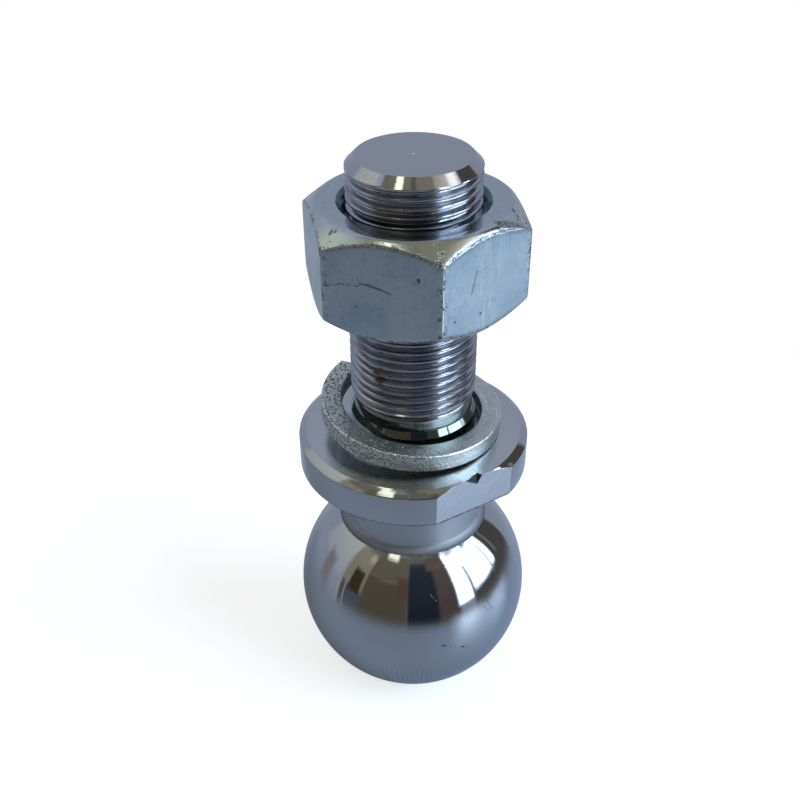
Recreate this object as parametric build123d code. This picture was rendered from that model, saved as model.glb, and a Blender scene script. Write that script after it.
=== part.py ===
from build123d import *
import os
from math import atan, cos, degrees, radians, sin, sqrt, tan

# Tow ball with its spring washer and nut, in millimetres.
# The ball, neck, flange and shank are one turned forging that stands on a small flat under the
# ball. A split spring washer lies on the flange, and a hexagon nut sits part way down the shank.
# The origin is the centre of the ball's flat, and +Z runs up the shank.

# Ball
ball_radius = 25.4
ball_flat_radius = 10.0

# Neck, with a rounded foot where it meets the ball
neck_radius = 14.5
neck_root_radius = 16.0
neck_flare_height = 1.5
neck_length = 15.07

# Flange, with two flats for a wrench
flange_radius = 24.0
flange_thickness = 8.0
flange_chamfer_width = 1.5
flange_chamfer_height = 1.3
flats_across = 44.5
flats_angle = -56.7

# Shank, from the flange's top face up to its end
shank_radius = 12.7
shank_length = 59.0
shank_end_radius = 10.95
shank_end_chamfer = 1.75

# Plain collar between the flange and the thread, and the groove where the thread runs out
collar_length = 8.2
relief_width = 1.3
relief_depth = 0.5

# Spring washer: a left-hand helix of nearly one turn, with its two ends cut at a slant
washer_clearance = 1.8
washer_width = 4.2
washer_thickness = 3.9
washer_edge_radius = 0.5
washer_pitch = 5.0
washer_offset = 0.5
split_gap_angle = 14.0
split_angle = 135.4
split_slant = 18.0

# Nut, chamfered on both faces
nut_across_flats = 38.8
nut_height = 20.4
nut_face_radius = 18.3
nut_chamfer_angle = 39.0
nut_countersink_radius = 14.2
nut_countersink_depth = 1.3
nut_below_end = 8.5
nut_angle = -17.0
thread_clearance = 0.15

# A free one-turn helix tips until it rests on its low end and on a second point across the ring.
# Its lean, as a slope, is then this share of the pitch over the outer radius.
rest_lean_share = 0.22

# Heights along the shank that follow from the sizes above
ball_centre_height = sqrt(ball_radius**2 - ball_flat_radius**2)
neck_root_height = ball_centre_height + sqrt(ball_radius**2 - neck_root_radius**2)
flange_bottom = neck_root_height + neck_length
flange_top = flange_bottom + flange_thickness
collar_top = flange_top + collar_length
thread_start = collar_top + relief_width
shank_end = flange_top + shank_length
nut_bottom = shank_end - nut_below_end - nut_height


def turn(*edges):
    # Solid of revolution about Z from a closed outline drawn as radius and height
    return revolve(Plane.XZ * make_face(Curve() + edges), axis=Axis.Z)


def ball_and_neck_outline():
    foot = (ball_flat_radius, 0)
    root = (neck_root_radius, neck_root_height)
    flare_top = (neck_radius, neck_root_height + neck_flare_height)
    return [
        Line((0, 0), foot),
        ThreePointArc(foot, (ball_radius, ball_centre_height), root),
        TangentArc(flare_top, root, tangent=(0, -1)),
        Line(flare_top, (neck_radius, flange_bottom)),
    ]


def flange_and_shank_outline():
    relief_radius = shank_radius - relief_depth
    return Polyline(
        (neck_radius, flange_bottom),
        (flange_radius, flange_bottom),
        (flange_radius, flange_top - flange_chamfer_height),
        (flange_radius - flange_chamfer_width, flange_top),
        (shank_radius, flange_top),
        (shank_radius, collar_top),
        (relief_radius, collar_top + relief_depth),
        (relief_radius, thread_start - relief_depth),
        (shank_radius, thread_start),
        (shank_radius, shank_end - shank_end_chamfer),
        (shank_end_radius, shank_end),
        (0, shank_end),
        (0, 0),
    )


def wrench_flats():
    # Two blocks that trim the flange on opposite sides, each running out past its rim
    block = Box(
        flange_radius,
        2 * flange_radius,
        flange_thickness,
        align=(Align.MIN, Align.CENTER, Align.MIN),
    )
    block = Pos(flats_across / 2, 0, flange_bottom) * block
    return Rot(Z=flats_angle) * (block + Rot(Z=180) * block)


def tow_ball():
    body = turn(*ball_and_neck_outline(), flange_and_shank_outline())
    return body - wrench_flats()


def washer_coil():
    # The rounded bar section follows the helix, and lies across it at the slant of the split
    bore_radius = shank_radius + washer_clearance
    turns = 1 - split_gap_angle / 360
    path = Helix(
        pitch=washer_pitch,
        height=washer_pitch * turns,
        radius=bore_radius + washer_width / 2,
        lefthand=True,
    )
    slant = radians(split_slant)
    cut_face = Plane(
        origin=path @ 0,
        x_dir=(cos(slant), sin(slant), 0),
        z_dir=(sin(slant), -cos(slant), 0),
    )
    section = RectangleRounded(washer_width / cos(slant), washer_thickness, washer_edge_radius)
    return sweep(cut_face * section, path=path, is_frenet=True)


def spring_washer():
    outer_radius = shank_radius + washer_clearance + washer_width
    lean = degrees(atan(rest_lean_share * washer_pitch / outer_radius))
    leaning = Rot(Z=split_angle - split_gap_angle / 2) * Rot(Y=-lean) * washer_coil()
    seat_shift = flange_top - leaning.bounding_box().min.Z
    return Pos(-washer_offset, 0, seat_shift) * leaning


def hex_nut():
    # A turned blank cut to a hexagon. The blank's two chamfer cones meet outside the corners.
    bore_radius = shank_radius + thread_clearance
    middle = nut_height / 2
    cones_meet = (nut_face_radius + middle / tan(radians(nut_chamfer_angle)), middle)
    blank = turn(
        Polyline(
            (bore_radius, nut_countersink_depth),
            (nut_countersink_radius, 0),
            (nut_face_radius, 0),
            cones_meet,
            (nut_face_radius, nut_height),
            (nut_countersink_radius, nut_height),
            (bore_radius, nut_height - nut_countersink_depth),
            close=True,
        )
    )
    hexagon = RegularPolygon(nut_across_flats / 2, 6, major_radius=False)
    nut = blank & extrude(hexagon, nut_height)
    return Pos(0, 0, nut_bottom) * Rot(Z=nut_angle) * nut


os.makedirs("parts", exist_ok=True)
export_step(tow_ball(), "parts/tow_ball.step")
export_step(spring_washer(), "parts/spring_washer.step")
export_step(hex_nut(), "parts/hex_nut.step")
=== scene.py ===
from math import atan, atan2, cos, pi, radians, sin, sqrt, tan

import bmesh
import bpy
from mathutils import Matrix, Vector


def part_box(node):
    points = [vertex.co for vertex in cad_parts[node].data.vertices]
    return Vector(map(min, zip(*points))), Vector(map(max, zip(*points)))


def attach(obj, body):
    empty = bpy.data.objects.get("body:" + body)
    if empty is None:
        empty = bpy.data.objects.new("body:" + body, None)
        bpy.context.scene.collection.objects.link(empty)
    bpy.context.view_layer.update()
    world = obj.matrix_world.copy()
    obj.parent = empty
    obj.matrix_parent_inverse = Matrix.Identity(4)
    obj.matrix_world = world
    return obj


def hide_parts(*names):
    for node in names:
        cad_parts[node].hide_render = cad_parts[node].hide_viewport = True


# A tow ball with its spring washer and nut. Sizes in the dictionaries are millimetres and degrees.
mm = 0.001

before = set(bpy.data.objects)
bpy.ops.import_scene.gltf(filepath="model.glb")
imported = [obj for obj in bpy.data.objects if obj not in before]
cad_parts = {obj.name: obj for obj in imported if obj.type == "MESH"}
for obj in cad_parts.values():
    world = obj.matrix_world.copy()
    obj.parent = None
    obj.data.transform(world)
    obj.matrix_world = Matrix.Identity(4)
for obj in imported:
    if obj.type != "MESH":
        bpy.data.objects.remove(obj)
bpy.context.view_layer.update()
print("frame loaded")


def operatorPair(name):
    # A sign's method, and its reflected form for a plain number on the left
    def forward(wire, other):
        return wire.graph.math(name, wire, other)

    def reflected(wire, other):
        return wire.graph.math(name, other, wire)

    return forward, reflected


class Wire:
    # A socket that can stand in a Python sum, in a shader tree or a geometry tree
    def __init__(self, graph, socket):
        self.graph = graph
        self.socket = socket

    def take(self, name):
        return Wire(self.graph, self.socket.node.outputs[name])

    __add__, __radd__ = operatorPair("ADD")
    __sub__, __rsub__ = operatorPair("SUBTRACT")
    __mul__, __rmul__ = operatorPair("MULTIPLY")
    __truediv__, __rtruediv__ = operatorPair("DIVIDE")
    __pow__ = operatorPair("POWER")[0]
    __lt__, __gt__ = operatorPair("LESS_THAN")


class Graph:
    # A node tree. add() makes any node, from the values of its sockets and its settings.
    def __init__(self, tree):
        self.tree = tree
        tree.nodes.clear()

    def add(self, kind, values=None, settings=None, out=0):
        node = self.tree.nodes.new(kind)
        for name, value in (settings or {}).items():
            setattr(node, name, value)
        for key, value in (values or {}).items():
            if isinstance(value, Wire):
                self.tree.links.new(value.socket, node.inputs[key])
            else:
                node.inputs[key].default_value = value
        return Wire(self, node.outputs[out]) if node.outputs else None

    def math(self, operation, *parts):
        return self.add("ShaderNodeMath", dict(enumerate(parts)), {"operation": operation})

    def most(self, first, second):
        return self.math("MAXIMUM", first, second)

    def size(self, value):
        return self.math("ABSOLUTE", value)

    def clamp(self, value, low=0.0, high=1.0):
        return self.math("MINIMUM", self.most(value, low), high)

    def ramp(self, value, low, high, shape="LINEAR"):
        # 0 below low and 1 above high
        values = {"Value": value, "From Min": low, "From Max": high}
        return self.add("ShaderNodeMapRange", values, {"interpolation_type": shape})

    def step(self, value, low, high):
        # The same, eased at both ends
        return self.ramp(value, low, high, "SMOOTHSTEP")

    def band(self, value, low, high, edge):
        # 1 between low and high, eased over edge on both sides
        over = self.step(value, high - edge, high + edge)
        return self.step(value, low - edge, low + edge) * (1 - over)

    def vector(self, operation, *parts, **named):
        values = {**dict(enumerate(parts)), **named}
        return self.add("ShaderNodeVectorMath", values, {"operation": operation})

    def pack(self, x, y, z):
        return self.add("ShaderNodeCombineXYZ", {"X": x, "Y": y, "Z": z})

    def split(self, vector):
        parts = self.add("ShaderNodeSeparateXYZ", {"Vector": vector}, out="X")
        return parts, parts.take("Y"), parts.take("Z")

    def mix(self, factor, first, second):
        # Blends two colours
        first, second = [(*tone, 1) if isinstance(tone, tuple) else tone for tone in (first, second)]
        values = {"Factor": factor, "A": first, "B": second}
        return self.add("ShaderNodeMix", values, {"data_type": "RGBA"}, "Result")

    def scaled(self, vector, scale):
        # The coordinates of a pattern, with one scale or one for each axis
        if isinstance(scale, tuple):
            return {"Vector": self.vector("MULTIPLY", vector, scale), "Scale": 1.0}
        return {"Vector": vector, "Scale": scale}

    def noise(self, vector, scale, detail=2.0, rough=0.5, fourth=None):
        # A fourth coordinate helps a pattern to close on itself
        values = {**self.scaled(vector, scale), "Detail": detail, "Roughness": rough}
        if fourth is None:
            return self.add("ShaderNodeTexNoise", values)
        return self.add("ShaderNodeTexNoise", {**values, "W": fourth}, {"noise_dimensions": "4D"})

    def dots(self, vector, scale, share, size):
        # Round dots in this share of the cells of a random pattern
        cell = self.add("ShaderNodeTexVoronoi", self.scaled(vector, scale), out="Distance")
        return (1 - self.step(cell, size * 0.5, size)) * (cell.take("Color") < share)

    def strokes(self, u, v, marks):
        # Straight marks, each between two points of a plane
        place = self.pack(u, v, 0.0)
        total = 0.0
        for start, end, width in marks:
            run = Vector((*end, 0)) - Vector((*start, 0))
            fromStart = self.vector("SUBTRACT", place, (*start, 0))
            share = self.vector("DOT_PRODUCT", fromStart, run).take("Value") / run.length_squared
            nearest = self.vector("SCALE", run, Scale=self.clamp(share))
            away = self.vector("DISTANCE", fromStart, nearest).take("Value")
            total = self.most(total, 1 - self.step(away, width * 0.25, width * 0.6))
        return total

    def near(self, place, centre, radius, rag=0.0):
        # A soft spot round a point, with a ragged edge where rag is above 0
        away = self.vector("DISTANCE", place, centre).take("Value")
        if rag:
            away += (self.noise(place, 1.6, 3.0) - 0.5) * rag
        return 1 - self.step(away, radius * 0.7, radius)


def newObject(name, data):
    thing = bpy.data.objects.new(name, data)
    bpy.context.scene.collection.objects.link(thing)
    return thing


# Camera. Its place, tilt and lens were fitted to the outlines of the real object's photograph.
cameraView = {
    "distanceInFront": 179.22,
    "height": 193.88,
    "tiltDown": 34.255,
    "turnLeft": 2.0,
    "roll": -0.892,
    "lens": 46.995,
    "shift": 0.0213,
}


def placeCamera(view):
    data = bpy.data.cameras.new("camera")
    data.lens = view["lens"]
    data.shift_x = view["shift"]
    data.clip_start = 0.01
    camera = newObject("camera", data)
    camera.location = (0, -view["distanceInFront"] * mm, view["height"] * mm)
    turn = Matrix.Rotation(radians(view["turnLeft"]), 4, "Z")
    tilt = Matrix.Rotation(radians(90 - view["tiltDown"]), 4, "X")
    roll = Matrix.Rotation(radians(view["roll"]), 4, "Z")
    camera.rotation_euler = (turn @ tilt @ roll).to_euler()
    bpy.context.scene.camera = camera


placeCamera(cameraView)
bpy.context.scene.view_settings.view_transform = "Standard"
print("camera placed")


# Studio. Each panel is a stretch of the surroundings: degrees round from the camera (positive to
# the right), degrees up from the horizon, how soft its edges are, and its colour, or its colour
# at its foot and at its top.
studio = {
    "sky": (0.425, 0.46, 0.56),
    "skyLow": (0.335, 0.372, 0.465),
    "ceiling": (0.25, 0.235, 0.185),
    "skyRise": (20, 40),
    "ceilingRise": (54, 62),
    "ground": (0.225, 0.262, 0.318),
    "groundRise": (-27, -4),
    "tableShine": {
        "right": (104, 150, -90, -4, 12, (0.36, 0.43, 0.56)),
        "wide": (42, 68, -48, -10, 10, (1.15, 1.4, 1.7), (1.65, 2.0, 2.4)),
        "narrow": (80, 100, -46, -10, 10, (0.62, 0.78, 0.98), (0.95, 1.2, 1.45)),
        "backLeft": (-200, -142, -60, -4, 10, (0.4, 0.45, 0.53)),
        "backRight": (134, 200, -60, -4, 10, (0.4, 0.45, 0.53)),
    },
    "panels": {
        "leftBounce": (-121, -77, 3, 50, 3, (0.42, 0.45, 0.5), (0.62, 0.64, 0.56)),
        "leftMark": (-104, -92, -40, 10, 4, (0.26, 0.23, 0.24)),
        "leftWall": (-79, -49, -40, 50, 2, (0.17, 0.165, 0.14), (0.36, 0.33, 0.23)),
        "leftGlow": (-60, -51, 37, 48, 1.5, (0.56, 0.5, 0.36), (0.62, 0.56, 0.42)),
        "leftFoot": (-76, -46, -40, 6, 2, (0.1, 0.105, 0.12)),
        "darkFrame": (-68, -55, 3, 25, 1.5, (0.055, 0.034, 0.018), (0.065, 0.04, 0.02)),
        "paleStripLeft": (-79, -77, -40, 26, 0.6, (0.5, 0.52, 0.52), (0.4, 0.4, 0.4)),
        "paleStripMiddle": (-71.5, -70, -40, 12, 0.6, (0.42, 0.45, 0.47), (0.3, 0.3, 0.3)),
        "paleStripRight": (-48.5, -46.5, -40, 14, 0.8, (0.42, 0.45, 0.45), (0.3, 0.3, 0.25)),
        "warmWallLow": (-52, -5, -40, 29, 1.5, (0.1, 0.088, 0.062), (0.11, 0.095, 0.062)),
        "warmWallHigh": (-52, -5, 29, 57, 1.5, (0.15, 0.13, 0.09), (0.18, 0.155, 0.11)),
        "redTint": (-17, -5, 15, 35, 4, (0.13, 0.07, 0.055)),
        "blackDoor": (-5, 28, -40, 53, 1.2, (0.007, 0.009, 0.011), (0.032, 0.045, 0.06)),
        "brownPillar": (26, 47, -40, 44, 2.5, (0.07, 0.055, 0.048), (0.13, 0.095, 0.09)),
        "warmCorner": (19, 51, 42, 57, 2.5, (0.17, 0.13, 0.095), (0.12, 0.095, 0.07)),
        "rightFlag": (99, 127, -40, 52, 2, (0.1, 0.083, 0.075), (0.09, 0.08, 0.08)),
        "rightStrip": (106, 108, 0, 28, 0.8, (0.28, 0.27, 0.26)),
        "softboxWide": (46, 78, -1, 51, 1.2, (3.0, 3.9, 4.7)),
        "softboxNarrow": (70, 100, 2, 38, 1.2, (3.0, 3.9, 4.7)),
        "sill": (63, 116, -40, 4, 2, (0.08, 0.072, 0.07), (0.1, 0.09, 0.085)),
        "firstMullion": (62, 65.5, -2, 30, 0.8, (0.12, 0.13, 0.14), (0.5, 0.55, 0.6)),
        "secondMullion": (92, 94, 0, 31, 0.6, (0.3, 0.32, 0.34), (0.6, 0.6, 0.6)),
        "leftDark": (-76, -50, 45, 61, 3, (0.18, 0.175, 0.14), (0.22, 0.21, 0.16)),
        "ceilingDark": (-9, 7, 59, 86, 4, (0.15, 0.145, 0.115), (0.13, 0.13, 0.1)),
        "ceilingRight": (7, 50, 56, 84, 5, (0.28, 0.26, 0.2), (0.25, 0.23, 0.17)),
        "ceilingWarm": (52, 99, 44, 66, 4, (1.05, 1.0, 0.95), (0.35, 0.3, 0.22)),
        "lintel": (-5, 19, 50, 61, 2, (0.17, 0.165, 0.14)),
        "ceilingGlow": (80, 98, 45, 53, 3, (1.8, 1.75, 1.7), (1.6, 1.5, 1.4)),
        "overheadStrip": (-41, -23, 51, 60, 1.5, (1.7, 1.7, 1.3)),
        "overheadStripHigh": (-49, -31, 60, 70, 1.5, (1.9, 1.85, 1.4)),
        "overheadStripTop": (-72, -46, 66, 73, 1.5, (2.6, 2.5, 2.1)),
    },
}


def hangPanels(g, around, above, color, panels):
    for left, right, low, top, edge, tone, *highTone in panels.values():
        outsideRound = g.size(around - (left + right) / 2) - (right - left) / 2
        outsideUp = g.size(above - (low + top) / 2) - (top - low) / 2
        inside = g.step(g.most(outsideRound, outsideUp), edge, -edge)
        for high in highTone:
            tone = g.mix(g.ramp(above, low, top), tone, high)
        color = g.mix(inside, color, tone)
    return color


def closeByRay(g, output, mirrored, seen):
    # Camera rays get another surface than all others
    toCamera = g.add("ShaderNodeLightPath", out="Is Camera Ray")
    both = g.add("ShaderNodeMixShader", {0: toCamera, 1: mirrored, 2: seen})
    g.add(output, {"Surface": both})


def newFinish(name):
    # A material with its tree and the place on the object in millimetres
    material = bpy.data.materials.new(name)
    material.use_nodes = True
    g = Graph(material.node_tree)
    return material, g, g.vector("SCALE", g.add("ShaderNodeTexCoord", out="Object"), Scale=1 / mm)


def lightStudio(values):
    world = bpy.data.worlds.new("studio")
    bpy.context.scene.world = world
    world.use_nodes = True
    g = Graph(world.node_tree)
    x, y, z = g.split(g.add("ShaderNodeTexCoord", out="Generated"))
    toDegrees = 180 / pi
    around = g.math("ARCTAN2", x, 0 - y) * toDegrees
    above = g.math("ARCSINE", g.clamp(z, -1.0, 1.0)) * toDegrees
    color = g.mix(g.step(above, *values["skyRise"]), values["skyLow"], values["sky"])
    color = g.mix(g.step(above, *values["ceilingRise"]), color, values["ceiling"])
    color = hangPanels(g, around, above, color, values["panels"])
    # Below the horizon the panels fade softly into the table
    lower = 1 - g.step(above, *values["groundRise"])
    table = hangPanels(g, around, above, values["ground"], values["tableShine"])
    color = g.mix(lower, color, table)
    shine = g.add("ShaderNodeBackground", {"Color": color})
    paper = g.add("ShaderNodeBackground", {"Color": (1, 1, 1, 1)})
    closeByRay(g, "ShaderNodeOutputWorld", shine, paper)


floorLook = {
    "radius": 900,
    "segments": 96,
    "fade": (30, 190),
    "paperFade": (95, 190),
    "colorTurn": (-10, 50),
    "color": (0.49, 0.55, 0.67),
    "litRightColor": (0.6, 0.68, 0.88),
    "roughness": 0.3,
    "paperColor": (0.8, 0.8, 0.8, 1),
    "paperLift": 0.66,
}


def layFloor(look):
    mesh = bpy.data.meshes.new("floor")
    shape = bmesh.new()
    radius = look["radius"] * mm
    bmesh.ops.create_circle(shape, cap_ends=True, radius=radius, segments=look["segments"])
    shape.to_mesh(mesh)
    shape.free()
    floor = newObject("floor", mesh)
    material, g, place = newFinish("floor")
    away = g.vector("LENGTH", place).take("Value")
    clear = g.add("ShaderNodeBsdfTransparent")
    # The table fades out, so that the horizon in the ball is a soft one
    # The table's right side is painted lighter, a painted pool of window light that the chrome reflects
    turn = g.step(g.split(place)[0], *look["colorTurn"])
    color = g.mix(turn, look["color"], look["litRightColor"])
    satin = g.add("ShaderNodeBsdfPrincipled", {"Base Color": color, "Roughness": look["roughness"]})
    fade = g.step(away, *look["fade"])
    table = g.add("ShaderNodeMixShader", {0: fade, 1: satin, 2: clear})
    # The camera sees white paper that keeps the shadow
    paper = g.add("ShaderNodeBsdfDiffuse", {"Color": look["paperColor"]})
    glow = g.add("ShaderNodeEmission", {"Strength": look["paperLift"]})
    sheet = g.add("ShaderNodeAddShader", {0: paper, 1: glow})
    fade = g.step(away, *look["paperFade"])
    sheet = g.add("ShaderNodeMixShader", {0: fade, 1: sheet, 2: clear})
    closeByRay(g, "ShaderNodeOutputMaterial", table, sheet)
    mesh.materials.append(material)


lightStudio(studio)
layFloor(floorLook)
print("studio lit")


# Helpers for meshes, with the distances in metres under which points become one
mergeDistance = 1e-6
seamDistance = 2e-6
cutDistance = 1e-7


def bakedMesh(host):
    # The plain mesh that an object's modifiers make. The object goes.
    graph = bpy.context.evaluated_depsgraph_get()
    mesh = bpy.data.meshes.new_from_object(host.evaluated_get(graph))
    bpy.data.objects.remove(host)
    return mesh


def addPiece(name, mesh, material, sharpAngle):
    # Puts a mesh in the scene, merged and smooth, with edges of more than sharpAngle kept sharp
    shape = bmesh.new()
    shape.from_mesh(mesh)
    bmesh.ops.remove_doubles(shape, verts=shape.verts, dist=mergeDistance)
    bmesh.ops.recalc_face_normals(shape, faces=shape.faces)
    shape.normal_update()
    openEdges = [edge for edge in shape.edges if not edge.is_manifold]
    print(name, len(shape.faces), "faces,", len(openEdges), "open edges")
    for face in shape.faces:
        face.smooth = True
    for edge in shape.edges:
        edge.smooth = edge.calc_face_angle(0) < radians(sharpAngle)
    shape.to_mesh(mesh)
    shape.free()
    mesh.materials.clear()
    mesh.materials.append(material)
    return newObject(name, mesh)


socketKinds = {float: "Float", int: "Int", bpy.types.Material: "Material"}


def labelled(sizes, names, unit=1):
    # The named values of a dictionary by input label, such as Face Radius for faceRadius
    labels = ["".join(" " + c if c.isupper() else c for c in name).title() for name in names]
    return {label: sizes[name] * unit for label, name in zip(labels, names)}


def treeWithInputs(name, values):
    # A geometry tree, its input wires by label, and the input values by identifier
    tree = bpy.data.node_groups.new(name, "GeometryNodeTree")
    tree.interface.new_socket("Geometry", in_out="OUTPUT", socket_type="NodeSocketGeometry")
    g = Graph(tree)
    settings = {}
    for label, value in values.items():
        kind = "NodeSocket" + socketKinds[type(value)]
        socket = tree.interface.new_socket(label, in_out="INPUT", socket_type=kind)
        settings[socket.identifier] = value
    first = g.add("NodeGroupInput")
    return g, {label: first.take(label) for label in values}, settings


def growMesh(g, w, geometry, settings):
    # Ends a tree, runs it on an empty object with these input values, and returns the plain mesh
    solid = g.add("GeometryNodeMergeByDistance", {"Geometry": geometry, "Distance": seamDistance})
    real = g.add("GeometryNodeRealizeInstances", {"Geometry": solid})
    painted = g.add("GeometryNodeSetMaterial", {"Geometry": real, "Material": w["Material"]})
    g.add("NodeGroupOutput", {"Geometry": painted})
    host = newObject("host", bpy.data.meshes.new(g.tree.name))
    modifier = host.modifiers.new("grow", "NODES")
    modifier.node_group = g.tree
    for key, value in settings.items():
        modifier[key] = value
    return bakedMesh(host)


def unitGrid(g, rows, columns):
    # A grid with its two coordinates from 0 to 1, as along and around
    shape = {"Size X": 1.0, "Size Y": 1.0, "Vertices X": rows, "Vertices Y": columns}
    grid = g.add("GeometryNodeMeshGrid", shape)
    along, around = g.split(g.add("GeometryNodeInputPosition"))[:2]
    return grid, along + 0.5, around + 0.5


def wrap(g, grid, radius, angle, height):
    # Puts each point of a grid at a radius, an angle and a height
    place = g.pack(radius * g.math("COSINE", angle), radius * g.math("SINE", angle), height)
    return g.add("GeometryNodeSetPosition", {"Geometry": grid, "Position": place})


def fromAxis(g, place):
    # A point's three coordinates, its distance from the axis and its angle round it
    x, y, z = g.split(place)
    return x, y, z, g.math("SQRT", x * x + y * y), g.math("ARCTAN2", y, x)


# Thread, a ridge that climbs one pitch in each turn. The shank and the nut share it.
threadShape = {
    "pitch": 25.4 / 14,
    "threadDepth": 1.0,
    "crestShare": 0.13,
    "rootShare": 0.06,
    "rowsPerTurn": 14,
    "runOut": 3.1,
    "leadIn": 0.9,
}


def threadValues(start, end, zero, crestRadius, columns, material):
    return {
        "Start": start * mm,
        "End": end * mm,
        "Thread Zero": zero * mm,
        "Crest Radius": crestRadius * mm,
        **labelled(threadShape, ["pitch", "threadDepth"], mm),
        **labelled(threadShape, ["crestShare", "rootShare", "rowsPerTurn"]),
        "Columns": columns,
        "Material": material,
    }


def climbingGrid(g, w, angleOf):
    # Rows that climb with the thread, cut off level at Start and End
    turns = g.math("CEIL", (w["End"] - w["Start"]) / w["Pitch"]) + 1
    grid, along, around = unitGrid(g, turns * w["Rows Per Turn"] + 1, w["Columns"] + 1)
    angle = angleOf(around)
    climb = w["Start"] + w["Pitch"] * (along * turns - 1 + angle / (2 * pi))
    return grid, angle, g.clamp(climb, w["Start"], w["End"])


def threadRadius(g, w, angle, height, fade):
    turn = (height - w["Thread Zero"]) / w["Pitch"] - angle / (2 * pi)
    fromCrest = g.size(g.math("FRACT", turn) - 0.5) * 2
    sunk = g.step(fromCrest, w["Crest Share"], 1 - w["Root Share"])
    return w["Crest Radius"] - w["Thread Depth"] * sunk * fade


# Tow ball
towBall = {
    "ballRadius": 25.4,
    "footRadius": 10.0,
    "neckRadius": 14.5,
    "neckRootRadius": 16.0,
    "neckLength": 15.07,
    "flangeRadius": 24.0,
    "flangeThickness": 8.0,
    "flangeChamferWidth": 1.5,
    "flangeChamferHeight": 1.3,
    "flatsAcross": 44.5,
    "flatsAngle": -56.7,
    "shankRadius": 12.7,
    "shankLength": 59.0,
    "endRadius": 10.95,
    "endChamfer": 1.75,
    "collarRadius": 12.9,
    "collarLength": 4.8,
    "shoulderRise": 1.3,
    "reliefRadius": 12.1,
    "threadFrom": 7.9,
    "threadZero": 9.5,
    "edgeRound": 0.22,
    "pipRadius": 0.3,
    "columns": 160,
    "ballSteps": 84,
    "neckSteps": 8,
    "sharpAngle": 18,
}


def heightsOf(b):
    # Heights along the axis that follow from the sizes
    h = {"centre": sqrt(b["ballRadius"] ** 2 - b["footRadius"] ** 2)}
    h["neckRoot"] = h["centre"] + sqrt(b["ballRadius"] ** 2 - b["neckRootRadius"] ** 2)
    h["flangeBottom"] = h["neckRoot"] + b["neckLength"]
    h["flangeTop"] = h["flangeBottom"] + b["flangeThickness"]
    h["collarTop"] = h["flangeTop"] + b["collarLength"]
    h["threadStart"] = h["flangeTop"] + b["threadFrom"]
    h["threadZero"] = h["flangeTop"] + b["threadZero"]
    h["end"] = h["flangeTop"] + b["shankLength"]
    return h


heights = heightsOf(towBall)


def arcRows(centreRadius, centreHeight, radius, first, last, steps):
    # Rows on an arc, from one angle to another in radians, the first one left out
    rows = []
    for step in range(1, steps + 1):
        turn = first + (last - first) * step / steps
        rows.append((centreRadius + radius * cos(turn), centreHeight + radius * sin(turn)))
    return rows


def roundedCorner(before, corner, after, radius, steps=3):
    # Three or more rows in place of a corner between two straight stretches
    a = Vector(before) - Vector(corner)
    b = Vector(after) - Vector(corner)
    half = a.angle(b) / 2
    reach = min(radius / tan(half), a.length / 3, b.length / 3)
    middle = Vector(corner) + (a.normalized() + b.normalized()).normalized() * (reach / cos(half))
    start = Vector(corner) + a.normalized() * reach - middle
    end = Vector(corner) + b.normalized() * reach - middle
    rows = []
    for step in range(steps + 1):
        spoke = start.lerp(end, step / steps).normalized() * start.length
        rows.append(tuple(middle + spoke))
    return rows


def roundedRows(points, radius):
    rows = [points[0]]
    for before, corner, after in zip(points, points[1:], points[2:]):
        rows += roundedCorner(before, corner, after, radius)
    return rows + [points[-1]]


def bodyRows(b, h):
    first = atan2(-h["centre"], b["footRadius"])
    last = atan2(h["neckRoot"] - h["centre"], b["neckRootRadius"])
    rows = [(0, 0), (b["footRadius"], 0)]
    rows += arcRows(0, h["centre"], b["ballRadius"], first, last, b["ballSteps"])
    # The neck's foot is a quarter round
    foot = b["neckRootRadius"] - b["neckRadius"]
    rows += arcRows(b["neckRootRadius"], h["neckRoot"] + foot, foot, -pi / 2, -pi, b["neckSteps"])
    chamferRadius = b["flangeRadius"] - b["flangeChamferWidth"]
    corners = [
        rows[-1],
        (b["neckRadius"], h["flangeBottom"]),
        (b["flangeRadius"], h["flangeBottom"]),
        (b["flangeRadius"], h["flangeTop"] - b["flangeChamferHeight"]),
        (chamferRadius, h["flangeTop"]),
        (b["collarRadius"], h["flangeTop"]),
        (b["collarRadius"], h["collarTop"]),
        (b["reliefRadius"], h["collarTop"] + b["shoulderRise"]),
        (b["reliefRadius"], h["threadStart"]),
    ]
    return rows[:-1] + roundedRows(corners, b["edgeRound"])


def turnRows(shape, rows, columns):
    # Adds a surface turned about the axis. A row of radius 0 is one point.
    rings = []
    for radius, height in rows:
        if radius == 0:
            rings.append([shape.verts.new((0, 0, height * mm))] * columns)
            continue
        ring = []
        for column in range(columns):
            angle = 2 * pi * column / columns
            ring.append(shape.verts.new((radius * cos(angle) * mm, radius * sin(angle) * mm, height * mm)))
        rings.append(ring)
    for low, high in zip(rings, rings[1:]):
        for column in range(columns):
            other = (column + 1) % columns
            corners = [low[column], low[other], high[other], high[column]]
            shape.faces.new(list(dict.fromkeys(corners)))


def cutFlats(shape, b, h):
    # Trims the flange on opposite sides and fills each cut
    low = (h["flangeBottom"] - 0.01) * mm
    high = (h["flangeTop"] + 0.01) * mm
    for turn in (0, pi):
        angle = radians(b["flatsAngle"]) + turn
        outward = Vector((cos(angle), sin(angle), 0))
        faces = [f for f in shape.faces if low < f.calc_center_median().z < high]
        parts = {part for face in faces for part in (face, *face.edges, *face.verts)}
        cut = bmesh.ops.bisect_plane(
            shape,
            geom=list(parts),
            dist=cutDistance,
            plane_co=outward * (b["flatsAcross"] / 2 * mm),
            plane_no=outward,
            clear_outer=True,
        )
        rim = [part for part in cut["geom_cut"] if isinstance(part, bmesh.types.BMEdge) and part.is_boundary]
        bmesh.ops.contextual_create(shape, geom=rim)


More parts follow.
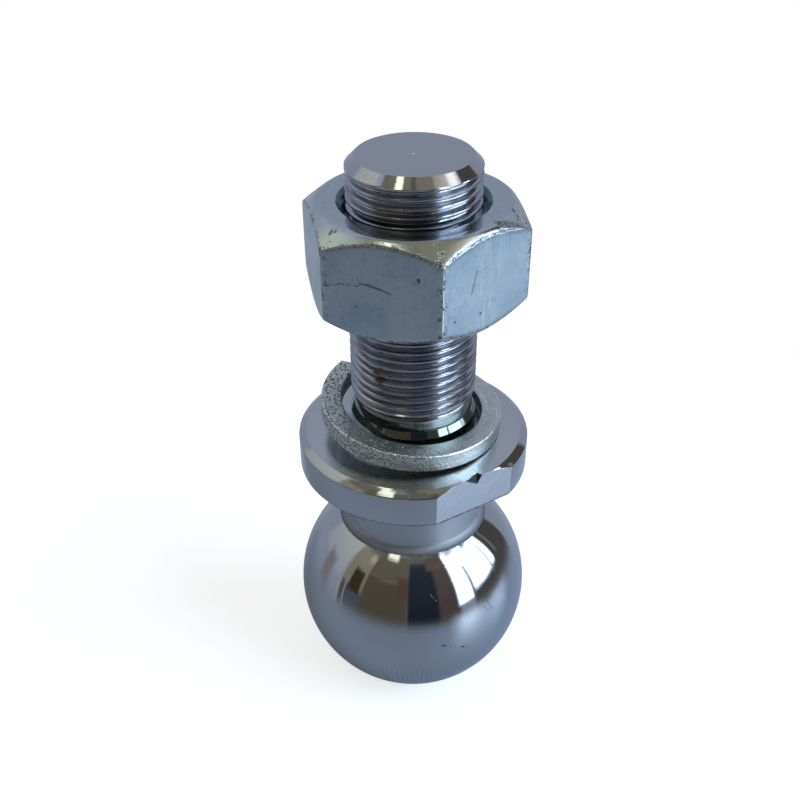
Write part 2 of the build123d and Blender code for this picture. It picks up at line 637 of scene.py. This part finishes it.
# A knock in the top edge of one flat: across the flat, inwards from it, and up from the top
flangeNick = {
    "deepest": (1.0, 0.95, -0.2),
    "corners": [(-2.5, 0.0, 0.0), (0.5, 0.0, -1.9), (1.7, 0.0, 0.0), (1.2, 1.25, 0.0)],
    "overshoot": 2.5,
}


def cutNick(mesh, b, h, nick):
    # A pyramid that points into the edge is taken away
    angle = radians(b["flatsAngle"])
    outward = Vector((cos(angle), sin(angle), 0))
    across = Vector((-sin(angle), cos(angle), 0))
    edge = outward * (b["flatsAcross"] / 2) + Vector((0, 0, h["flangeTop"]))
    points = []
    for aside, inward, rise in [nick["deepest"], *nick["corners"]]:
        points.append(edge + across * aside - outward * inward + Vector((0, 0, rise)))
    tip = points[0]
    points = [tip + (point - tip) * nick["overshoot"] for point in points]
    faces = [(0, 2, 1), (0, 3, 2), (0, 4, 3), (0, 1, 4), (1, 2, 3), (1, 3, 4)]
    wedge = newObject("nickWedge", bpy.data.meshes.new("nickWedge"))
    wedge.data.from_pydata([point * mm for point in points], [], faces)
    host = newObject("nickHost", mesh)
    modifier = host.modifiers.new("nick", "BOOLEAN")
    modifier.operation = "DIFFERENCE"
    modifier.solver = "EXACT"
    modifier.object = wedge
    cut = bakedMesh(host)
    bpy.data.objects.remove(wedge)
    return cut


def shankThread(b, h, material):
    # The outer thread, which sinks into the relief below it and ends under the chamfer
    values = threadValues(
        h["threadStart"], h["end"], h["threadZero"], b["shankRadius"], b["columns"], material
    )
    values |= labelled(threadShape, ["runOut", "leadIn"], mm)
    values |= labelled(b, ["endRadius", "endChamfer", "reliefRadius"], mm)
    g, w, settings = treeWithInputs("shankThread", values)
    grid, angle, height = climbingGrid(g, w, lambda around: around * (2 * pi))
    coneFoot = w["End"] - w["End Chamfer"]
    fade = 1 - g.step(height, coneFoot - w["Lead In"], coneFoot)
    ridge = threadRadius(g, w, angle, height, fade) - w["Relief Radius"]
    ridge = w["Relief Radius"] + ridge * g.step(height, w["Start"], w["Start"] + w["Run Out"])
    slope = (w["Crest Radius"] - w["End Radius"]) / w["End Chamfer"]
    cone = w["End Radius"] + (w["End"] - height) * slope
    tube = wrap(g, grid, g.math("MINIMUM", ridge, cone), angle, height)
    return growMesh(g, w, g.add("GeometryNodeFlipFaces", {"Mesh": tube}), settings)


def makeTowBall(b, h, material):
    shape = bmesh.new()
    turnRows(shape, bodyRows(b, h), b["columns"])
    cutFlats(shape, b, h)
    pip = b["pipRadius"]
    endRows = [(b["endRadius"], h["end"]), (pip, h["end"]), (0, h["end"] - pip)]
    turnRows(shape, endRows, b["columns"])
    shape.from_mesh(shankThread(b, h, material))
    bmesh.ops.remove_doubles(shape, verts=shape.verts, dist=seamDistance)
    bmesh.ops.recalc_face_normals(shape, faces=shape.faces)
    mesh = bpy.data.meshes.new("towBall")
    shape.to_mesh(mesh)
    shape.free()
    piece = addPiece("towBall", cutNick(mesh, b, h, flangeNick), material, b["sharpAngle"])
    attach(piece, "tow_ball")
    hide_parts("tow_ball")


# Hexagon nut
hexNut = {
    "acrossFlats": 38.8,
    "height": 20.4,
    "faceRadius": 18.3,
    "chamferAngle": 39.0,
    "countersinkRadius": 14.5,
    "countersinkAngle": 46.0,
    "angle": -17.0,
    "belowEnd": 8.5,
    "threadClearance": 0.1,
    "cornerRound": 0.7,
    "edgeRoundShare": 0.25,
    "wornEdge": 0.3,
    "wideEdgeFrom": 302,
    "wideEdgeTo": 350,
    "wideEdgeSoft": 6.8755,
    "wideEdgeShare": 0.9,
    "cornerCrowding": 0.8,
    "bandCrowding": 0.85,
    "columns": 192,
    "rowsPerBand": 8,
    "sharpAngle": 24,
}


def cornerAngle(g, angle):
    # How far round from the nearest of the six corners
    return g.size((g.math("FRACT", angle / (pi / 3) + 0.5) - 0.5) * (pi / 3))


def hexRadius(g, w, angle):
    # Distance from the axis to a hexagon whose corners are rounded
    fromCorner = cornerAngle(g, angle)
    half = w["Across Flats"] / 2
    straight = half / g.math("COSINE", pi / 6 - fromCorner)
    centre = (half - w["Corner Round"]) / cos(pi / 6)
    aside = centre * g.math("SINE", fromCorner)
    chord = g.most(w["Corner Round"] ** 2 - aside**2, 0.0)
    curved = centre * g.math("COSINE", fromCorner) + g.math("SQRT", chord)
    touch = w["Corner Round"] * sin(pi / 6) / (centre + w["Corner Round"] * cos(pi / 6))
    onCorner = fromCorner < g.math("ARCTANGENT", touch)
    return straight + onCorner * (curved - straight)


def easedRamp(g, value, soft):
    # 0 before 0 and value after it, with a rounded corner between
    near = g.clamp(value + soft, 0.0, soft * 2)
    return near * near / (soft * 4) + g.most(value - soft, 0.0)


def nutShell(g, w):
    # Bands of rows from one hole's edge to the other: flat, crown, worn edge, side, and back
    bands = 7
    grid, along, around = unitGrid(g, w["Rows Per Band"] * bands + 1, w["Columns"] + 1)
    band = along * bands
    band -= g.math("SINE", band * (2 * pi)) * w["Band Crowding"] / (2 * pi)
    angle = crowdedAngle(g, w, around)
    outer = hexRadius(g, w, angle)
    flatWidth = w["Face Radius"] - w["Countersink Radius"]
    slope = g.math("ARCTANGENT", w["Chamfer Slope"])
    # The edge is more worn along one side
    wide = g.band(angle, w["Wide Edge From"], w["Wide Edge To"], w["Wide Edge Soft"])
    wornEdge = w["Worn Edge"] * (1 + wide * w["Wide Edge Share"])
    edgeWidth = wornEdge * g.math("COSINE", slope)
    edgeRise = wornEdge * (g.math("SINE", slope) + 1)
    crownWidth = outer - w["Face Radius"] - edgeWidth
    crownRise = crownWidth * w["Chamfer Slope"]
    sideRise = w["Height"] - (crownRise + edgeRise) * 2
    widths = [flatWidth, crownWidth, edgeWidth]
    widths += [0.0] + [0.0 - width for width in reversed(widths)]
    rises = [0.0, crownRise, edgeRise, sideRise, edgeRise, crownRise, 0.0]
    radius = w["Countersink Radius"] + flatWidth * band
    height = w["Start"]
    for index in range(1, bands):
        ramp = easedRamp(g, band - index, w["Edge Round Share"])
        radius += (widths[index] - widths[index - 1]) * ramp
        height += (rises[index] - rises[index - 1]) * ramp
    return wrap(g, grid, radius, angle + w["Turn"], height)


def crowdedAngle(g, w, around):
    # More columns near the six corners
    return around * (2 * pi) - g.math("SINE", around * (12 * pi)) * w["Corner Crowding"] / 6


def makeHexNut(n, h, material):
    bottom = h["end"] - n["belowEnd"] - n["height"]
    top = bottom + n["height"]
    boreRadius = towBall["shankRadius"] + n["threadClearance"]
    values = threadValues(bottom, top, h["threadZero"], boreRadius, n["columns"], material)
    lengths = ["height", "acrossFlats", "faceRadius", "countersinkRadius", "cornerRound", "wornEdge"]
    shares = ["edgeRoundShare", "wideEdgeShare", "cornerCrowding", "bandCrowding", "rowsPerBand"]
    values |= labelled(n, lengths, mm) | labelled(n, shares)
    values |= labelled(n, ["wideEdgeFrom", "wideEdgeTo", "wideEdgeSoft"], pi / 180)
    values["Turn"] = radians(n["angle"])
    values["Chamfer Slope"] = tan(radians(n["chamferAngle"]))
    values["Countersink Slope"] = tan(radians(n["countersinkAngle"]))
    g, w, settings = treeWithInputs("hexNut", values)
    grid, angle, height = climbingGrid(g, w, lambda around: crowdedAngle(g, w, around))
    ridge = threadRadius(g, w, angle + w["Turn"], height, 1.0)
    fromEnd = g.math("MINIMUM", height - w["Start"], w["End"] - height)
    cone = w["Countersink Radius"] - fromEnd * w["Countersink Slope"]
    bore = wrap(g, grid, g.most(ridge, cone), angle + w["Turn"], height)
    shell = g.add("GeometryNodeFlipFaces", {"Mesh": nutShell(g, w)})
    both = g.add("GeometryNodeJoinGeometry")
    g.tree.links.new(bore.socket, both.socket.node.inputs[0])
    g.tree.links.new(shell.socket, both.socket.node.inputs[0])
    mesh = growMesh(g, w, both, settings)
    piece = addPiece("hexNut", mesh, material, n["sharpAngle"])
    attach(piece, "hex_nut")
    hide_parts("hex_nut")


# Spring washer
springWasher = {
    "clearance": 1.8,
    "width": 4.2,
    "thickness": 3.9,
    "edgeRadius": 0.5,
    "pitch": 5.0,
    "gapAngle": 14.0,
    "splitAngle": 135.4,
    "slant": 18.0,
    "leanShare": 0.22,
    "offset": 0.5,
    "steps": 180,
    "edgeSteps": 4,
    "sharpAngle": 24,
}


def makeSpringWasher(s, material):
    # A bar swept down a left-hand coil, with both ends cut at a slant
    boreRadius = towBall["shankRadius"] + s["clearance"]
    values = labelled(s, ["width", "thickness", "edgeRadius", "pitch"], mm)
    values |= labelled(s, ["steps", "edgeSteps"])
    values["Middle Radius"] = (boreRadius + s["width"] / 2) * mm
    values["Turns"] = 1 - s["gapAngle"] / 360
    values["Slant"] = radians(s["slant"])
    values["Material"] = material
    g, w, settings = treeWithInputs("springWasher", values)
    line = g.add("GeometryNodeCurvePrimitiveLine")
    path = g.add("GeometryNodeResampleCurve", {"Curve": line, "Count": w["Steps"]})
    share = g.add("GeometryNodeSplineParameter")
    angle = 0 - share * w["Turns"] * (2 * pi)
    coil = wrap(g, path, w["Middle Radius"], angle, share * w["Turns"] * w["Pitch"])
    coil = g.add("GeometryNodeSetCurveNormal", {"Curve": coil}, {"mode": "Z_UP"})
    size = {"Width": w["Width"], "Height": w["Thickness"]}
    bar = g.add("GeometryNodeCurvePrimitiveQuadrilateral", size)
    rounding = {"Curve": bar, "Radius": w["Edge Radius"], "Count": w["Edge Steps"]}
    bar = g.add("GeometryNodeFilletCurve", rounding, {"mode": "POLY"})
    sweep = {"Curve": coil, "Profile Curve": bar, "Fill Caps": True}
    solid = g.add("GeometryNodeCurveToMesh", sweep)
    z, radius, turn = fromAxis(g, g.add("GeometryNodeInputPosition"))[2:]
    turn += (radius / w["Middle Radius"] - 1) * g.math("TANGENT", w["Slant"])
    mesh = growMesh(g, w, wrap(g, solid, radius, turn, z), settings)
    lean = atan(s["leanShare"] * s["pitch"] / (boreRadius + s["width"]))
    mesh.transform(Matrix.Rotation(-lean, 4, "Y"))
    mesh.transform(Matrix.Rotation(radians(s["splitAngle"] - s["gapAngle"] / 2), 4, "Z"))
    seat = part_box("spring_washer")[0].z - min(v.co.z for v in mesh.vertices)
    mesh.transform(Matrix.Translation((-s["offset"] * mm, 0, seat)))
    piece = addPiece("springWasher", mesh, material, s["sharpAngle"])
    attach(piece, "tow_ball")
    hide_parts("spring_washer")


# Finishes, with lengths in millimetres of the object. A noise is its scale per millimetre, its
# detail and its roughness. Any other pair is where a mask starts and where it is full.
def closeFinish(g, look, layers, roughness, metallic, height):
    # Each layer is a mask and the name of the colour that it lays over the ones before
    color = look["color"]
    for mask, name in layers:
        color = g.mix(mask, color, look[name])
    bump = g.add("ShaderNodeBump", {"Strength": 1.0, "Distance": mm, "Height": height})
    values = {"Base Color": color, "Roughness": roughness, "Metallic": metallic, "Normal": bump}
    g.add("ShaderNodeOutputMaterial", {"Surface": g.add("ShaderNodeBsdfPrincipled", values)})


def facing(g, place, degrees):
    # How far a point is out along this direction round the axis, and how far across it
    c = cos(radians(degrees))
    s = sin(radians(degrees))
    out = g.vector("DOT_PRODUCT", place, (c, s, 0)).take("Value")
    return out, g.vector("DOT_PRODUCT", place, (-s, c, 0)).take("Value")


chromeLook = {
    "color": (0.54, 0.56, 0.6),
    "pitAndShadeColor": (0.07, 0.07, 0.085),
    "grimeColor": (0.15, 0.15, 0.16),
    "rustColor": (0.13, 0.065, 0.04),
    "pipHighlightColor": (0.75, 0.75, 0.75),
    "seamColor": (0.05, 0.05, 0.055),
    "streakColor": (0.68, 0.7, 0.74),
    "threadColor": (0.46, 0.46, 0.51),
    "collarShadeColor": (0.29, 0.33, 0.33),
    "roughness": 0.05,
    "ballSatin": 0.12,
    "threadSatin": 0.08,
    "neckSatin": 0.36,
    "footSatin": 0.25,
    "flatSatin": 0.14,
    "topSatin": 0.12,
    "markSatin": 0.3,
    "footShade": 0.3,
    "levelNormal": (0.93, 0.98),
    "chamferNormal": (0.55, 0.82),
    "lowBall": (-8, 13),
    "ringNoise": (4.0, 3.0, 0.6),
    "ringHeights": {"everywhere": 0.0004, "ball": 0.008, "top": 0.0055, "chamfer": 0.003, "collar": 0.006},
    "chatterRings": 15,
    "chatterSpokes": 210,
    "chatterHeight": 0.004,
    "combNoise": (2.0, 1.0),
    "combHeight": 0.014,
    "stripeNoise": (1.0, 1.6, 0.55),
    "stripeDrift": (0.08, 0.06, 0.35),
    "stripeRise": (0.02, 0.1),
    "stripeTurn": 1.1,
    "stripeHeight": 0.03,
    "stripeShade": 0.5,
    "ribs": 137,
    "ribNoise": (0.12, 2.0),
    "ribWander": 6,
    "ribFade": (12, 22),
    "ribHeight": 0.006,
    "ribShade": 0.26,
    "brushAngle": 24,
    "brushNoise": ((0.16, 3.0, 1.0), 4.0, 0.65),
    "brushRise": (0.05, 0.16),
    "brushHeight": 0.042,
    "pits": {"scale": (1.5, 1.5, 2.4), "share": 0.2, "size": 0.3},
    "pitNoise": (0.35, 2.0),
    "pitRise": (0.42, 0.58),
    "gapNoise": (1.9, 1.0),
    "gapRise": (0.5, 0.56),
    "ragNoise": (1.3, 3.0),
    "ragRise": (0.44, 0.6),
    "specks": {"scale": 0.28, "share": 0.16, "size": 0.045},
    "markDepth": 0.02,
    "nickPlace": (12.7, -18.1, 65.4),
    "nickReach": 3.2,
    "rustSpots": [((-7.0, -10.6, 84.4), 1.3), ((-6.5, -10.9, 84.0), 1.2)],
    "rustRag": 0.9,
    "scratches": [((-21.5, 32.5), (-20.1, 29.4), 0.22), ((-22.6, 31.2), (-21.4, 29.6), 0.12)],
    "speckRow": [((-33.8, 25.4), (-27.2, 22.6), 0.5), ((-35.2, 36.9), (-33.9, 35.6), 0.4)],
}


def makeChrome(look, b, h):
    material, g, place = newFinish("chromePlate")
    x, y, z, radius, turn = fromAxis(g, place)
    upward = g.split(g.add("ShaderNodeTexCoord", out="Normal"))[2]
    # Where on the forging a point is
    root, bottom, top, end = (h[name] for name in ("neckRoot", "flangeBottom", "flangeTop", "end"))
    wideNeck = b["neckRootRadius"]
    onBall = 1 - g.step(z, root - 0.3, root + 0.1)
    lowBall = onBall * (1 - g.step(z - h["centre"], *look["lowBall"]))
    onTop = g.step(upward, *look["levelNormal"]) * g.band(z, top - 0.4, top + 0.4, 0.1)
    onThread = g.band(z, h["threadStart"] + 0.6, end - b["endChamfer"] - 0.2, 0.5)
    onCollar = g.band(z, top + 0.3, h["threadStart"] + 0.4, 0.2)
    onCollar *= 1 - g.step(radius, b["collarRadius"] + 0.2, b["collarRadius"] + 0.5)
    out, across = facing(g, place, b["flatsAngle"])
    flat = b["flatsAcross"] / 2
    onFlat = g.step(g.size(out), flat - 0.12, flat - 0.06) * (1 - onBall)
    onChamfer = g.band(upward, *look["chamferNormal"], 0.05) * (1 - onBall)
    inNeck = g.band(z, root - 0.02, bottom - 0.1, 0.02) * (1 - g.step(radius, wideNeck, wideNeck + 0.1))
    inFoot = inNeck * g.step(radius, b["neckRadius"] + 0.02, b["neckRadius"] + 0.3)
    inPip = 1 - g.step(radius, b["pipRadius"] - 0.03, b["pipRadius"] + 0.03)
    inPip *= g.step(z, end - 0.5, end - 0.4)
    inNick = g.near(place, look["nickPlace"], look["nickReach"])
    inNick *= g.step(flat - out, 0.03, 0.07) * g.step(top - z, 0.03, 0.07)
    # Turned lines run round the axis. The flats are brushed at a slant.
    turned = g.pack(radius, 0.0, z)
    rings = g.noise(turned, *look["ringNoise"]) - 0.5
    share = look["ringHeights"]
    tall = share["everywhere"] + onTop * share["top"] + onChamfer * share["chamfer"]
    tall = (tall + onBall * share["ball"] + onCollar * share["collar"]) * (1 - onThread)
    chatter = g.math("SINE", radius * look["chatterRings"]) * g.math("SINE", turn * look["chatterSpokes"])
    height = rings * tall + chatter * (onTop * look["chatterHeight"])
    comb = g.noise(turned, *look["combNoise"]) - 0.5
    height += comb * (onChamfer * look["combHeight"])
    # Fine stripes climb with the thread
    phase = z * (2 * pi / threadShape["pitch"]) - turn
    stripeX = g.math("COSINE", phase) * look["stripeTurn"]
    stripeY = g.math("SINE", phase) * look["stripeTurn"]
    driftX, driftY, driftZ = look["stripeDrift"]
    stripePlace = g.pack(stripeX, stripeY, z * driftZ + y * driftY)
    stripes = g.noise(stripePlace, *look["stripeNoise"], x * driftX) - 0.5
    height += stripes * (onThread * look["stripeHeight"])
    wander = g.noise(place, *look["ribNoise"]) * look["ribWander"]
    ribs = g.math("SINE", turn * look["ribs"] + wander)
    nearFoot = onBall * (1 - g.step(z, *look["ribFade"]))
    height += ribs * (nearFoot * look["ribHeight"])
    slant = radians(look["brushAngle"])
    along = across * cos(slant) + z * sin(slant)
    aside = z * cos(slant) - across * sin(slant)
    brush = g.noise(g.pack(along, aside, out), *look["brushNoise"]) - 0.5
    height += brush * (onFlat * look["brushHeight"])
    # Pits and painted dark lines in the thread, specks and scratches on the ball, grime in the two inner
    # corners
    pits = g.dots(place, **look["pits"]) * onThread
    pits *= g.step(g.noise(place, *look["pitNoise"]), *look["pitRise"])
    # Dark lines are painted along the thread's stripes, painted shade between its crest lines
    streaks = g.step(stripes, *look["stripeRise"]) * onThread
    u = turn * b["ballRadius"]
    broken = g.step(g.noise(place, *look["gapNoise"]), *look["gapRise"])
    marks = g.strokes(u, z, look["scratches"]) * 0.6
    marks += g.strokes(u, z, look["speckRow"]) * broken
    marks = g.clamp(marks) * onBall
    specks = g.dots(place, **look["specks"]) * onBall
    dark = g.clamp(pits + streaks * look["stripeShade"] + marks + specks)
    height -= dark * look["markDepth"]
    ragged = g.step(g.noise(place, *look["ragNoise"]), *look["ragRise"])
    grime = g.band(radius, wideNeck - 0.1, wideNeck + 0.1, 0.08) * (0.25 + ragged * 0.75)
    grime *= g.band(z, root - 0.3, root + 0.1, 0.05)
    seam = g.band(z, bottom - 0.1, bottom + 0.3, 0.05)
    seam *= g.step(radius, flat - 0.4, flat - 0.1) * (0.5 + ragged * 0.5)
    rust = 0.0
    for centre, size in look["rustSpots"]:
        rust = g.most(rust, g.near(place, centre, size, look["rustRag"]))
    layers = [
        (onThread, "threadColor"),
        # The collar and the relief band above it are painted darker, painted shade where they stand in the
        # washer's bore
        (onCollar, "collarShadeColor"),
        (g.step(brush, *look["brushRise"]) * onFlat, "streakColor"),
        (inNick, "pitAndShadeColor"),
        # The centre pip is painted pale and not metallic, a painted glint
        (inPip, "pipHighlightColor"),
        (dark, "pitAndShadeColor"),
        (grime, "grimeColor"),
        (seam, "seamColor"),
        # The neck's foot is painted darker, painted shade that tones down the bright ring it reflects
        (inFoot * look["footShade"], "pitAndShadeColor"),
        ((ribs * 0.5 + 0.5) * nearFoot * look["ribShade"], "pitAndShadeColor"),
        (rust, "rustColor"),
    ]
    rough = look["roughness"] + lowBall * look["ballSatin"] + onThread * look["threadSatin"]
    rough += inNeck * look["neckSatin"] + inFoot * look["footSatin"]
    rough += onFlat * look["flatSatin"] + onTop * look["topSatin"]
    rough += (inPip + inNick + rust + dark) * look["markSatin"]
    closeFinish(g, look, layers, rough, g.clamp(1 - rust * 0.8 - inPip), height)
    return material


nutLook = {
    "color": (0.52, 0.58, 0.64),
    "cloudColor": (0.42, 0.52, 0.6),
    "crownColor": (0.61, 0.67, 0.66),
    "topColor": (0.53, 0.6, 0.66),
    "boreShadeColor": (0.1, 0.17, 0.21),
    "mottleColor": (0.17, 0.27, 0.32),
    "wearAndSheenColor": (0.78, 0.8, 0.8),
    "darkColor": (0.09, 0.1, 0.11),
    "roughness": 0.3,
    "crownRoughness": 0.2,
    "topRoughness": 0.16,
    "cloudRoughness": 0.12,
    "dirtRoughness": 0.3,
    "cloudNoise": (0.13, 3.0, 0.55),
    "cloudRise": (0.35, 0.7),
    "fineNoise": (1.5, 4.0, 0.65),
    "coarseNoise": (0.5, 2.0),
    "brushNoise": ((2.2, 2.2, 0.06), 3.0, 0.6),
    "streakRise": (0.06, 0.16),
    "mottleNoise": (0.9, 4.0, 0.7),
    "mottleRise": (0.5, 0.72),
    "mottleShare": 0.35,
    "specks": {"scale": 0.55, "share": 0.12, "size": 0.1},
    "brushHeight": 0.002,
    "combHeight": 0.006,
    "combBand": (-1.6, 3.6, 0.6),
    "grainHeight": 0.006,
    "wornHeight": 0.012,
    "markDepth": 0.05,
    "frontAngle": -107,
    "rightAngle": -47,
    "frontGouges": [
        ((-3.9, 108.2), (-2.5, 108.1), 0.3),
        ((-2.5, 108.1), (-0.2, 107.6), 0.5),
        ((-0.2, 107.6), (1.8, 106.9), 0.3),
    ],
    "frontDashes": [((-10.2, 106.8), (-7.5, 107.6), 0.3), ((-7.5, 107.6), (-4.2, 107.7), 0.35)],
    "frontPits": [
        ((6.8, 110.6), (6.9, 110.2), 0.7),
        ((5.8, 110.0), (6.1, 109.8), 0.7),
        ((-4.8, 103.5), (-4.7, 103.4), 0.45),
    ],
    "crownScratches": [((18.9, -5.2), (20.6, -7.3), 0.4)],
    "crownGrime": [((14.6, -10.8), (19.0, -8.4), 1.3), ((17.7, -4.4), (18.6, -7.0), 0.35)],
    "rightMarks": [
        ((-2.9, 110.1), (-4.2, 105.8), 0.2),
        ((-8.2, 101.8), (-8.1, 101.7), 0.5),
        ((-1.7, 101.1), (-1.6, 101.0), 0.5),
    ],
}


def makeNutZinc(look, n, h):
    material, g, place = newFinish("nutZinc")
    x, y, z, radius, turn = fromAxis(g, place)
    turn -= radians(n["angle"])
    top = h["end"] - n["belowEnd"]
    middle = top - n["height"] / 2
    fromCorner = cornerAngle(g, turn)
    half = n["acrossFlats"] / 2
    face = n["faceRadius"]
    hexEdge = half / g.math("COSINE", pi / 6 - fromCorner)
    # Height of a point above the line where the crown meets the side
    crownLine = n["height"] / 2 - (hexEdge - face) * tan(radians(n["chamferAngle"]))
    overLine = g.size(z - middle) - crownLine
    pastFace = g.step(radius, face - 0.3, face + 0.3)
    onCrown = g.step(overLine, -0.1, 0.15) * pastFace
    onFlat = 1 - pastFace
    inBore = 1 - g.step(radius, n["countersinkRadius"] - 0.15, n["countersinkRadius"])
    cloud = g.noise(place, *look["cloudNoise"])
    # Worn and speckled edges. The worn edges are lighter, partly wear and partly a painted highlight.
    cornerAway = fromCorner * radius
    fine = g.noise(place, *look["fineNoise"])
    coarse = g.noise(place, *look["coarseNoise"])
    fromLine = g.size(overLine)
    outside = g.step(radius, face - 0.2, face + 0.4)
    onEdge = g.clamp(1.5 - cornerAway / 0.8) + g.clamp(1.4 - fromLine / 0.4)
    onEdge = g.clamp(onEdge) * outside
    wearAndSheen = onEdge * g.step(fine, 0.38, 0.62)
    grime = onEdge * g.step(fine + coarse * 0.5, 0.79, 0.86)
    crease = (1 - g.step(fromLine + (fine - 0.5) * 0.4, 0.02, 0.12)) * g.step(coarse, 0.36, 0.46)
    grime = g.most(grime, crease * outside * 0.75)
    # Marks on the front and the right side, and on the crown between them
    frontOut, frontAcross = facing(g, place, look["frontAngle"])
    rightOut, rightAcross = facing(g, place, look["rightAngle"])
    onFront = g.step(frontOut, half - 0.3, half - 0.1)
    onRight = g.step(rightOut, half - 0.3, half - 0.1)
    broken = g.step(fine, 0.42, 0.56)
    gouge = g.strokes(frontAcross, z, look["frontGouges"])
    marks = gouge * 0.8 + g.strokes(frontAcross, z, look["frontDashes"]) * broken * 0.7
    marks = (marks + g.strokes(frontAcross, z, look["frontPits"]) * broken) * onFront
    marks = g.clamp(marks + g.strokes(rightAcross, z, look["rightMarks"]) * onRight)
    nearTop = g.step(z, top - 3, top - 2)
    scratches = g.strokes(x, y, look["crownScratches"]) * nearTop
    rubbed = g.strokes(x, y, look["crownGrime"]) * nearTop * (0.4 + broken * 0.6)
    specks = g.dots(place, **look["specks"])
    dark = g.clamp(marks + grime + specks * 0.8 + rubbed * (1 - wearAndSheen))
    brushed = g.noise(place, *look["brushNoise"]) - 0.5
    combed = onRight * g.band(rightAcross, *look["combBand"])
    streaks = g.step(brushed, *look["streakRise"]) * (combed * 0.7 + 0.15)
    mottled = g.step(g.noise(place, *look["mottleNoise"]), *look["mottleRise"]) * look["mottleShare"]
    layers = [
        (g.step(cloud, *look["cloudRise"]), "cloudColor"),
        (onCrown, "crownColor"),
        (onFlat, "topColor"),
        # The bore and its countersinks are painted dark, painted shade inside the nut
        (inBore, "boreShadeColor"),
        (mottled * (1 - onCrown), "mottleColor"),
        (g.most(wearAndSheen * 0.5, streaks), "wearAndSheenColor"),
        (dark * 0.85, "darkColor"),
        (scratches, "wearAndSheenColor"),
    ]
    plain = look["roughness"]
    rough = plain + onCrown * (look["crownRoughness"] - plain) + onFlat * (look["topRoughness"] - plain)
    rough += (brushed + cloud - 0.5 - wearAndSheen) * look["cloudRoughness"] + dark * look["dirtRoughness"]
    height = brushed * (look["brushHeight"] + combed * look["combHeight"])
    height += (fine - 0.5) * (look["grainHeight"] + wearAndSheen * look["wornHeight"])
    closeFinish(g, look, layers, rough, 1.0, height - dark * look["markDepth"])
    return material


washerLook = {
    "color": (0.5, 0.55, 0.54),
    "brightColor": (0.74, 0.78, 0.76),
    "wearAndSheenColor": (0.9, 0.9, 0.85),
    "pitAndShadeColor": (0.1, 0.11, 0.11),
    "roughness": 0.32,
    "fineNoise": (1.7, 4.0, 0.6),
    "patchNoise": (0.25, 2.0),
    "lineNoise": ((2.6, 2.2, 2.6), 4.0, 0.62),
    "scuffNoise": (2.4, 3.0, 0.7),
    "scuffRise": (0.5, 0.62),
    "pits": {"scale": 1.6, "share": 0.85, "size": 0.5},
    "sidePits": {"scale": (9.6, 1.2, 0.8), "share": 0.4, "size": 0.34},
    "pitDepth": 0.08,
    "lineHeight": 0.08,
    "grainHeight": 0.08,
    "scuffHeight": 0.015,
    "boreShade": 0.4,
}


def makeWasherZinc(look, w):
    material, g, place = newFinish("washerZinc")
    place = g.vector("ADD", place, (w["offset"], 0, 0))
    x, y, z, radius, turn = fromAxis(g, place)
    normalX, normalY, normalZ = g.split(g.add("ShaderNodeTexCoord", out="Normal"))
    outward = (normalX * x + normalY * y) / radius
    bevel = g.band(normalZ, 0.2, 0.96, 0.08) * g.step(outward, 0.05, 0.2)
    fine = g.noise(place, *look["fineNoise"])
    patchy = g.noise(place, *look["patchNoise"])
    # Pits are thickest on the left of the top and on the outer side
    crowd = g.step(x * -0.04 + patchy + outward * 0.12, 0.35, 0.75)
    pits = g.dots(place, **look["pits"]) * crowd * g.step(fine, 0.38, 0.48)
    sidePits = g.dots(g.pack(turn, z, radius), **look["sidePits"])
    pits = g.most(pits, sidePits * g.step(outward, 0.6, 0.8) * g.step(fine, 0.44, 0.52))
    # Brush lines run round the ring in broken arcs
    lines = g.noise(g.pack(radius, turn, z), *look["lineNoise"]) - 0.5
    # The outer top bevel is painted lighter, partly wear and partly a painted highlight
    wearAndSheen = bevel * g.step(fine, 0.3, 0.6)
    rubbed = g.most(g.step(patchy, 0.35, 0.6), g.step(y * -0.05 + patchy, 0.9, 1.25))
    scuffs = g.step(g.noise(place, *look["scuffNoise"]), *look["scuffRise"]) * rubbed
    scuffs = g.most(scuffs * 0.7, g.step(lines, 0.08, 0.18) * 0.8)
    layers = [
        (g.step(lines + (fine - 0.5) * 0.6, -0.1, 0.22), "brightColor"),
        (scuffs, "wearAndSheenColor"),
        # The inner side is painted darker, painted shade inside the ring
        (g.step(outward, -0.6, -0.8) * look["boreShade"], "pitAndShadeColor"),
        (wearAndSheen, "wearAndSheenColor"),
        (pits * 0.85, "pitAndShadeColor"),
    ]
    rough = look["roughness"] + lines * 0.2 - (wearAndSheen + scuffs) * 0.1 + pits * 0.3
    height = lines * look["lineHeight"] + (fine - 0.5) * look["grainHeight"]
    height += scuffs * look["scuffHeight"] - pits * look["pitDepth"]
    closeFinish(g, look, layers, rough, 1.0, height)
    return material


makeTowBall(towBall, heights, makeChrome(chromeLook, towBall, heights))
makeSpringWasher(springWasher, makeWasherZinc(washerLook, springWasher))
makeHexNut(hexNut, heights, makeNutZinc(nutLook, hexNut, heights))
print("pieces made")
